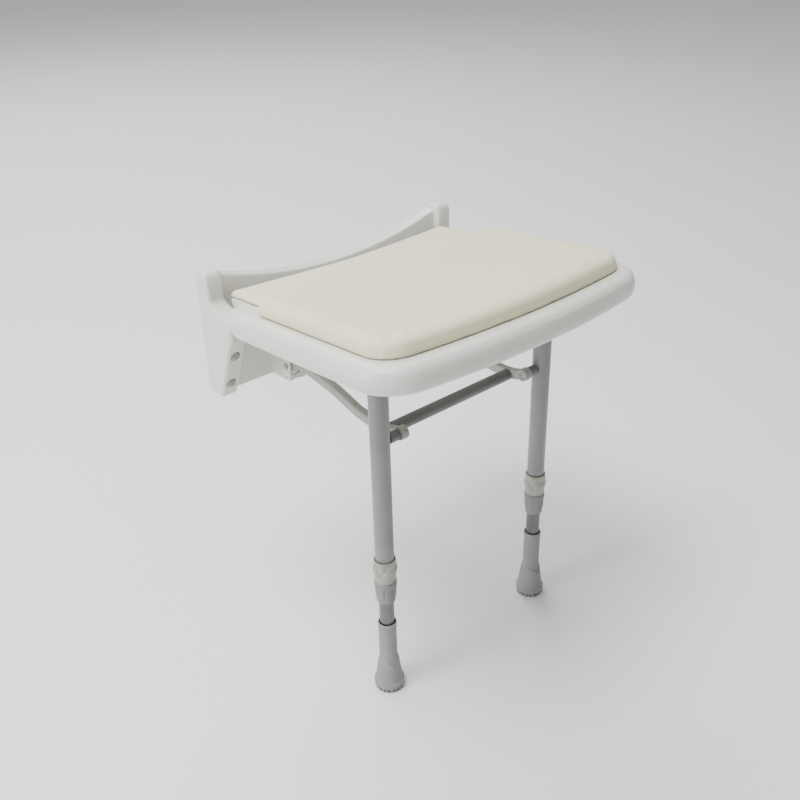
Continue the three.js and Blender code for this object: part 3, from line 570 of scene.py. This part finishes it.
def build_nut(side, x):
    node = f"leg_lock_nut_{side}"
    low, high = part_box(node)
    bottom, top = low.z, high.z
    bore, mouth, body = BORE_RADIUS, 0.0106, 0.0150
    lobes = 8

    def grip(r, z, angle):
        if r < NECK_RADIUS:
            return r, z
        share = smoothstep((z - bottom - 0.008) / 0.004) * smoothstep((top - 0.0095 - z) / 0.0015)
        dip = max(0.0, math.cos(lobes * angle)) ** 2
        band = 0.0008 * smoothstep((top - 0.0085 - z) / 0.0012)
        return r - band - 0.0012 * share * dip, z

    side_heights = [bottom + 0.013 + k * 0.0008 for k in range(25)]
    outline = [(bore, top), (body - 0.0012, top), (body, top - 0.0015)]
    outline += [(body, z) for z in reversed(side_heights) if z < top - 0.0025]
    outline += [(0.0138, bottom + 0.006), (0.0124, bottom), (mouth, bottom),
                (mouth, bottom + 0.003), (bore, bottom + 0.004)]
    nut = lathe(f"{node}_grip", outline, (x, LEG_Y, 0), 168, warp=grip)
    dress(sharpen(nut, 40), f"{side}_lock_nut", GRIP, node)


def build_inner_tube(side, x):
    node = f"leg_inner_tube_{side}"
    low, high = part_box(node)
    tube = lathe(f"{node}_anodised", tube_outline(0.010, 0.0085, low.z, high.z), (x, LEG_Y, 0), 96)
    dress(tube, f"{side}_inner_leg", ANODISED, node)


def build_ferrule(side, x):
    """Rubber foot: a sleeve that opens into a bell with arched brows and a toothed tread."""
    node = f"leg_ferrule_{side}"
    low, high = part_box(node)
    floor = low.z
    mouth = high.z - floor
    sleeve, bore = SLEEVE_RADIUS, 0.0103
    teeth, tooth_height, tooth_depth = 20, 0.0040, 0.0014
    step = 0.0016
    heights = [0.0, 0.0145, 0.020, 0.028, 0.037, 0.046, 0.055, 0.062, 0.200]
    bell = [0.0192, 0.0191, 0.0182, 0.0170, 0.0158, 0.0147, 0.0134, sleeve, sleeve]

    def shaped(r, z, angle):
        height = z - floor
        if 0.0150 < height < 0.064 and r > 0.0118:
            brow = 0.040 + 0.011 * abs(math.sin(1.5 * angle + 2.4))
            below = 1 - smoothstep((height - brow) / 0.0010)
            r = max(sleeve, float(np.interp(height, heights, bell)) - step * (1 - below))
        if r > 0.0155 and math.sin(teeth * angle) < 0.0:
            r -= tooth_depth * smoothstep((0.0080 - height) / 0.003)
            z = max(z, floor + tooth_height)
        return r, z

    outline = [(0.0, floor + 0.0012), (0.0150, floor + 0.0012), (0.0157, floor), (0.0186, floor),
               (0.0196, floor + 0.0008), (0.0203, floor + 0.0033), (0.0208, floor + 0.0060),
               (0.0210, floor + 0.0085), (0.0210, floor + 0.0125), (0.0205, floor + 0.0138),
               (0.0197, floor + 0.0143)]
    outline += [(0.0160, floor + 0.0155 + 0.0008 * k) for k in range(60)]
    outline += [(sleeve, floor + 0.075), (sleeve, floor + mouth - 0.007),
                (sleeve + 0.0005, floor + mouth - 0.0058),
                (sleeve + 0.0005, floor + mouth - 0.0012), (sleeve - 0.0002, floor + mouth),
                (bore + 0.0011, floor + mouth), (bore + 0.0008, floor + mouth - 0.004),
                (bore, floor + mouth - 0.006), (bore, floor + 0.006), (0.0, floor + 0.006)]
    ferrule = lathe(f"{node}_rubber", outline, (x, LEG_Y, 0), 160, warp=shaped)
    dress(sharpen(ferrule, 34), f"{side}_inner_leg", RUBBER, node)


def build_legs():
    for side, sign in SIDES:
        x = sign * LEG_X
        build_outer_tube(side, x)
        build_collar(side, x)
        build_nut(side, x)
        build_inner_tube(side, x)
        build_ferrule(side, x)
        plug = softened(f"leg_top_plug_{side}", f"leg_top_plug_{side}_moulding", 0.0007, 3)
        dress(plug, f"{side}_leg", NYLON, f"leg_top_plug_{side}")


# ------------------------------------------------------------------ stays, crossbar and bolts
def build_crossbar():
    low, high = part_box("crossbar")
    middle = (low + high) / 2
    half = (high.x - low.x) / 2
    outline = rounded([(0.0, -half), (0.0081, -half), (0.0081, half), (0.0, half)], 0.0006, 3)
    bar = lathe("crossbar_painted", outline, (0, middle.y, middle.z), 72, "x")
    # painted shade: the crossbar gets the darker copy of the tube paint
    dress(bar, "stay_frame", SHADE_DARKENED_PAINT, "crossbar")


def socket_head(name, radius, length, place, axis, shank_radius, shank):
    """A bolt with a rounded head and a hexagon socket; the shank runs the other way."""
    socket = 0.48 * radius
    outline = [(0.0, 0.45 * length), (socket, 0.45 * length), (socket, 0.0),
               (0.82 * radius, 0.0), (radius, 0.22 * length), (radius, length),
               (shank_radius, length), (shank_radius, length + shank), (0.0, length + shank)]

    def hexagon(r, z, angle):
        if abs(r - socket) < 1e-6:
            turn = (angle % (math.pi / 3)) - math.pi / 6
            return socket * 0.9 / math.cos(turn), z
        return r, z

    return sharpen(lathe(name, outline, place, 48, axis, hexagon), 30)


def build_bolts():
    for side, sign in SIDES:
        low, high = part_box(f"leg_bolt_{side}")
        middle = (low + high) / 2
        inner = sign * min(abs(low.x), abs(high.x))
        reach = high.x - low.x
        axis = "x" if sign > 0 else "-x"
        bolt = socket_head(f"leg_bolt_{side}_socket", 0.0040, 0.0026, (inner, middle.y, middle.z),
                           axis, 0.0030, reach - 0.0026)
        dress(bolt, "stay_frame", STEEL, f"leg_bolt_{side}")
        low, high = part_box(f"stay_spacer_{side}")
        middle = (low + high) / 2
        half = (high.x - low.x) / 2
        ring = rounded([(0.0033, -half), (0.0070, -half), (0.0070, half), (0.0033, half)], 0.0008, 3)
        spacer = lathe(f"stay_spacer_{side}_sleeve", ring, middle, 64, "x")
        # painted shade: the spacer sleeves get the darker copy of the tube paint
        dress(spacer, "stay_frame", SHADE_DARKENED_PAINT, f"stay_spacer_{side}")
        low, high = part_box(f"crossbar_screw_{side}")
        middle = (low + high) / 2
        outer = sign * max(abs(low.x), abs(high.x))
        axis = "-x" if sign > 0 else "x"
        screw = socket_head(f"crossbar_screw_{side}_socket", 0.0046, 0.0024,
                            (outer, middle.y, middle.z), axis, 0.0025, high.x - low.x - 0.0024)
        dress(screw, "stay_frame", STEEL, f"crossbar_screw_{side}")


def build_hardware_looks():
    """CAD nodes that keep their shape and only get a finish."""
    for name, obj in NODES.items():
        if obj.hide_render:
            continue
        cream = name.startswith(("seat_hinge_bush", "leg_collet"))
        obj.data.materials.clear()
        obj.data.materials.append(NYLON if cream else STEEL)
        for polygon in obj.data.polygons:
            polygon.use_smooth = False


# ------------------------------------------------------------------ camera, light, floor
CAMERA_PLACE = Vector((-0.7405, -1.0157, 0.5510))
CAMERA_AZIMUTH = math.radians(-40.49)
CAMERA_ELEVATION = math.radians(28.90)
CAMERA_ROLL = math.radians(-1.62)
CAMERA_LENS = 41.65


def add_camera():
    az, el = CAMERA_AZIMUTH, CAMERA_ELEVATION
    back = Vector((math.sin(az) * math.cos(el), -math.cos(az) * math.cos(el), math.sin(el)))
    right = (-back).cross(Vector((0, 0, 1))).normalized()
    up = right.cross(-back)
    turned_right = right * math.cos(CAMERA_ROLL) + up * math.sin(CAMERA_ROLL)
    turned_up = up * math.cos(CAMERA_ROLL) - right * math.sin(CAMERA_ROLL)
    matrix = Matrix((turned_right, turned_up, back)).transposed().to_4x4()
    matrix.translation = CAMERA_PLACE
    data = bpy.data.cameras.new("camera")
    data.lens = CAMERA_LENS
    data.sensor_width = 36.0
    data.clip_end = 200.0
    camera = bpy.data.objects.new("camera", data)
    camera.matrix_world = matrix
    bpy.context.scene.collection.objects.link(camera)
    bpy.context.scene.camera = camera


def add_area_light(name, place, target, size, power, tint=(1.0, 1.0, 1.0)):
    data = bpy.data.lights.new(name, "AREA")
    data.shape = "DISK"
    data.size = size
    data.energy = power
    data.color = tint
    light = bpy.data.objects.new(name, data)
    light.location = place
    light.rotation_euler = (Vector(target) - Vector(place)).to_track_quat("-Z", "Y").to_euler()
    bpy.context.scene.collection.objects.link(light)


def add_studio():
    world = bpy.data.worlds.new("studio")
    world.use_nodes = True
    background = world.node_tree.nodes["Background"]
    background.inputs["Color"].default_value = (1.0, 1.0, 1.0, 1.0)
    background.inputs["Strength"].default_value = 0.50
    bpy.context.scene.world = world
    target = (0.0, -0.2, 0.0)
    add_area_light("key", (-1.0, -0.2, 2.5), target, 1.4, 98.0)
    add_area_light("side", (-2.6, 0.2, 0.5), target, 1.0, 40.0)
    add_area_light("floor_wash", (0.6, 3.0, 3.2), (0.4, 2.6, FLOOR_Z), 4.0, 190.0)
    half = 40.0
    corners = [(-half, -half), (half, -half), (half, half), (-half, half)]
    floor = new_object("floor", [(x, y, FLOOR_Z) for x, y in corners], [(0, 1, 2, 3)])
    floor.data.materials.append(surface(
        "pale_floor", ((0.86, 0.86, 0.86), (0.84, 0.84, 0.84)), (0.55, 0.7), (90, 0.0002, 0.1),
        patch=1.0))


add_camera()
add_studio()
build_pad()
build_mouldings()
build_screw_caps()
build_legs()
build_crossbar()
build_bolts()
build_hardware_looks()

bpy.context.view_layer.update()
